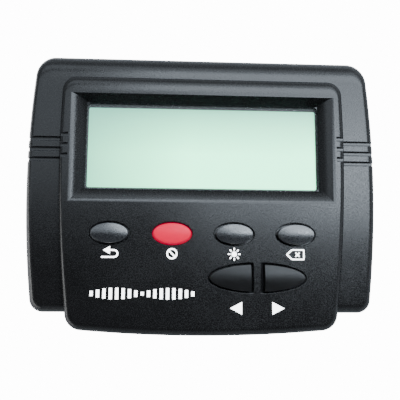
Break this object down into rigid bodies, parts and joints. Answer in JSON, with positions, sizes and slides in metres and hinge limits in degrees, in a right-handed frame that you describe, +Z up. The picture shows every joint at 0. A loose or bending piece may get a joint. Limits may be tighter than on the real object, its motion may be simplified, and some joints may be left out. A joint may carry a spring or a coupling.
{
  "type": "caller ID box",
  "caption": "Low wedge-shaped desktop caller ID box with a tilted display, oval keys, a battery door and telephone sockets.",
  "frame": {"origin": "on the table under the middle of the bounding box", "axes": "+X across the face to the right, +Y to the back with the sockets, +Z up"},
  "size_m": [0.116, 0.0914, 0.0374],
  "materials": {
    "case_plastic": "fine spark-eroded texture",
    "window": "clear acrylic",
    "lcd_glass": "reflective grey-green liquid crystal",
    "backlight": "milky acrylic",
    "holder_plastic": "moulded",
    "zebra_rubber": "layered",
    "green_board": "solder mask",
    "tan_board": "phenolic paper laminate",
    "steel": "nickel plated",
    "dark_steel": "black oxide",
    "key_plastic": "fine texture",
    "red_key_plastic": "slightly clear",
    "silicone": "matte",
    "carbon": "matte",
    "chip_plastic": "moulded",
    "gold_contact": "plated",
    "relay_plastic": "moulded",
    "film_plastic": "dipped",
    "can_sleeve": "shrunk sleeve",
    "ribbon": "flat cable",
    "red_lead": "insulation",
    "black_lead": "insulation",
    "cell_sleeve": "plain label",
    "foot_rubber": "matte"
  },
  "bodies": {
    "case": {"top_case": "case_plastic", "bottom_case": "case_plastic", "lcd_window": "window", "lcd_front_glass": "lcd_glass", "lcd_rear_glass": "lcd_glass", "lcd_backlight": "backlight", "lcd_holder": "holder_plastic", "zebra_strips": "zebra_rubber", "display_board": "green_board", "board_screws": "steel", "dome_back": "silicone", "dome_block": "silicone", "dome_bright": "silicone", "dome_delete": "silicone", "dome_left": "silicone", "dome_right": "silicone", "keypad_mat": "silicone", "main_chip": "chip_plastic", "memory_chip": "chip_plastic", "crystal": "steel", "chip_resistors": "chip_plastic", "line_board": "tan_board", "line_board_screws": "steel", "line_jack": "chip_plastic", "phone_jack": "chip_plastic", "line_jack_contacts": "gold_contact", "phone_jack_contacts": "gold_contact", "line_relay": "relay_plastic", "film_capacitor": "film_plastic", "electrolytic_capacitors": "can_sleeve", "bridge_rectifier": "chip_plastic", "ribbon_cable": "ribbon", "battery_lead_red": "red_lead", "battery_lead_black": "black_lead", "battery_springs": "steel", "battery_plates": "steel", "cell_front": "cell_sleeve", "cell_middle": "cell_sleeve", "cell_back": "cell_sleeve", "case_screws": "dark_steel", "foot_front_left": "foot_rubber", "foot_front_right": "foot_rubber", "foot_back_left": "foot_rubber", "foot_back_right": "foot_rubber"},
    "door": {"battery_door": "case_plastic"},
    "button_back": {"key_back": "key_plastic", "pill_back": "carbon"},
    "button_block": {"key_block": "red_key_plastic", "pill_block": "carbon"},
    "button_bright": {"key_bright": "key_plastic", "pill_bright": "carbon"},
    "button_delete": {"key_delete": "key_plastic", "pill_delete": "carbon"},
    "button_left": {"key_left": "key_plastic", "pill_left": "carbon"},
    "button_right": {"key_right": "key_plastic", "pill_right": "carbon"}
  },
  "joints": [
    {"name": "battery_door_hinge", "type": "hinge", "parent": "case", "child": "door", "pos_m": [-0.017, 0.0076, 0.0012], "axis": [-1, 0, 0], "range_deg": [0, 70]},
    {"name": "back_key_press", "type": "slide", "parent": "case", "child": "button_back", "axis": [0, 0.309, -0.9511], "range_m": [0, 0.0012], "stiffness_N_per_m": 900, "deforming": ["dome_back"]},
    {"name": "block_key_press", "type": "slide", "parent": "case", "child": "button_block", "axis": [0, 0.309, -0.9511], "range_m": [0, 0.0012], "stiffness_N_per_m": 900, "deforming": ["dome_block"]},
    {"name": "bright_key_press", "type": "slide", "parent": "case", "child": "button_bright", "axis": [0, 0.309, -0.9511], "range_m": [0, 0.0012], "stiffness_N_per_m": 900, "deforming": ["dome_bright"]},
    {"name": "delete_key_press", "type": "slide", "parent": "case", "child": "button_delete", "axis": [0, 0.309, -0.9511], "range_m": [0, 0.0012], "stiffness_N_per_m": 900, "deforming": ["dome_delete"]},
    {"name": "left_key_press", "type": "slide", "parent": "case", "child": "button_left", "axis": [0, 0.309, -0.9511], "range_m": [0, 0.0012], "stiffness_N_per_m": 900, "deforming": ["dome_left"]},
    {"name": "right_key_press", "type": "slide", "parent": "case", "child": "button_right", "axis": [0, 0.309, -0.9511], "range_m": [0, 0.0012], "stiffness_N_per_m": 900, "deforming": ["dome_right"]}
  ]
}
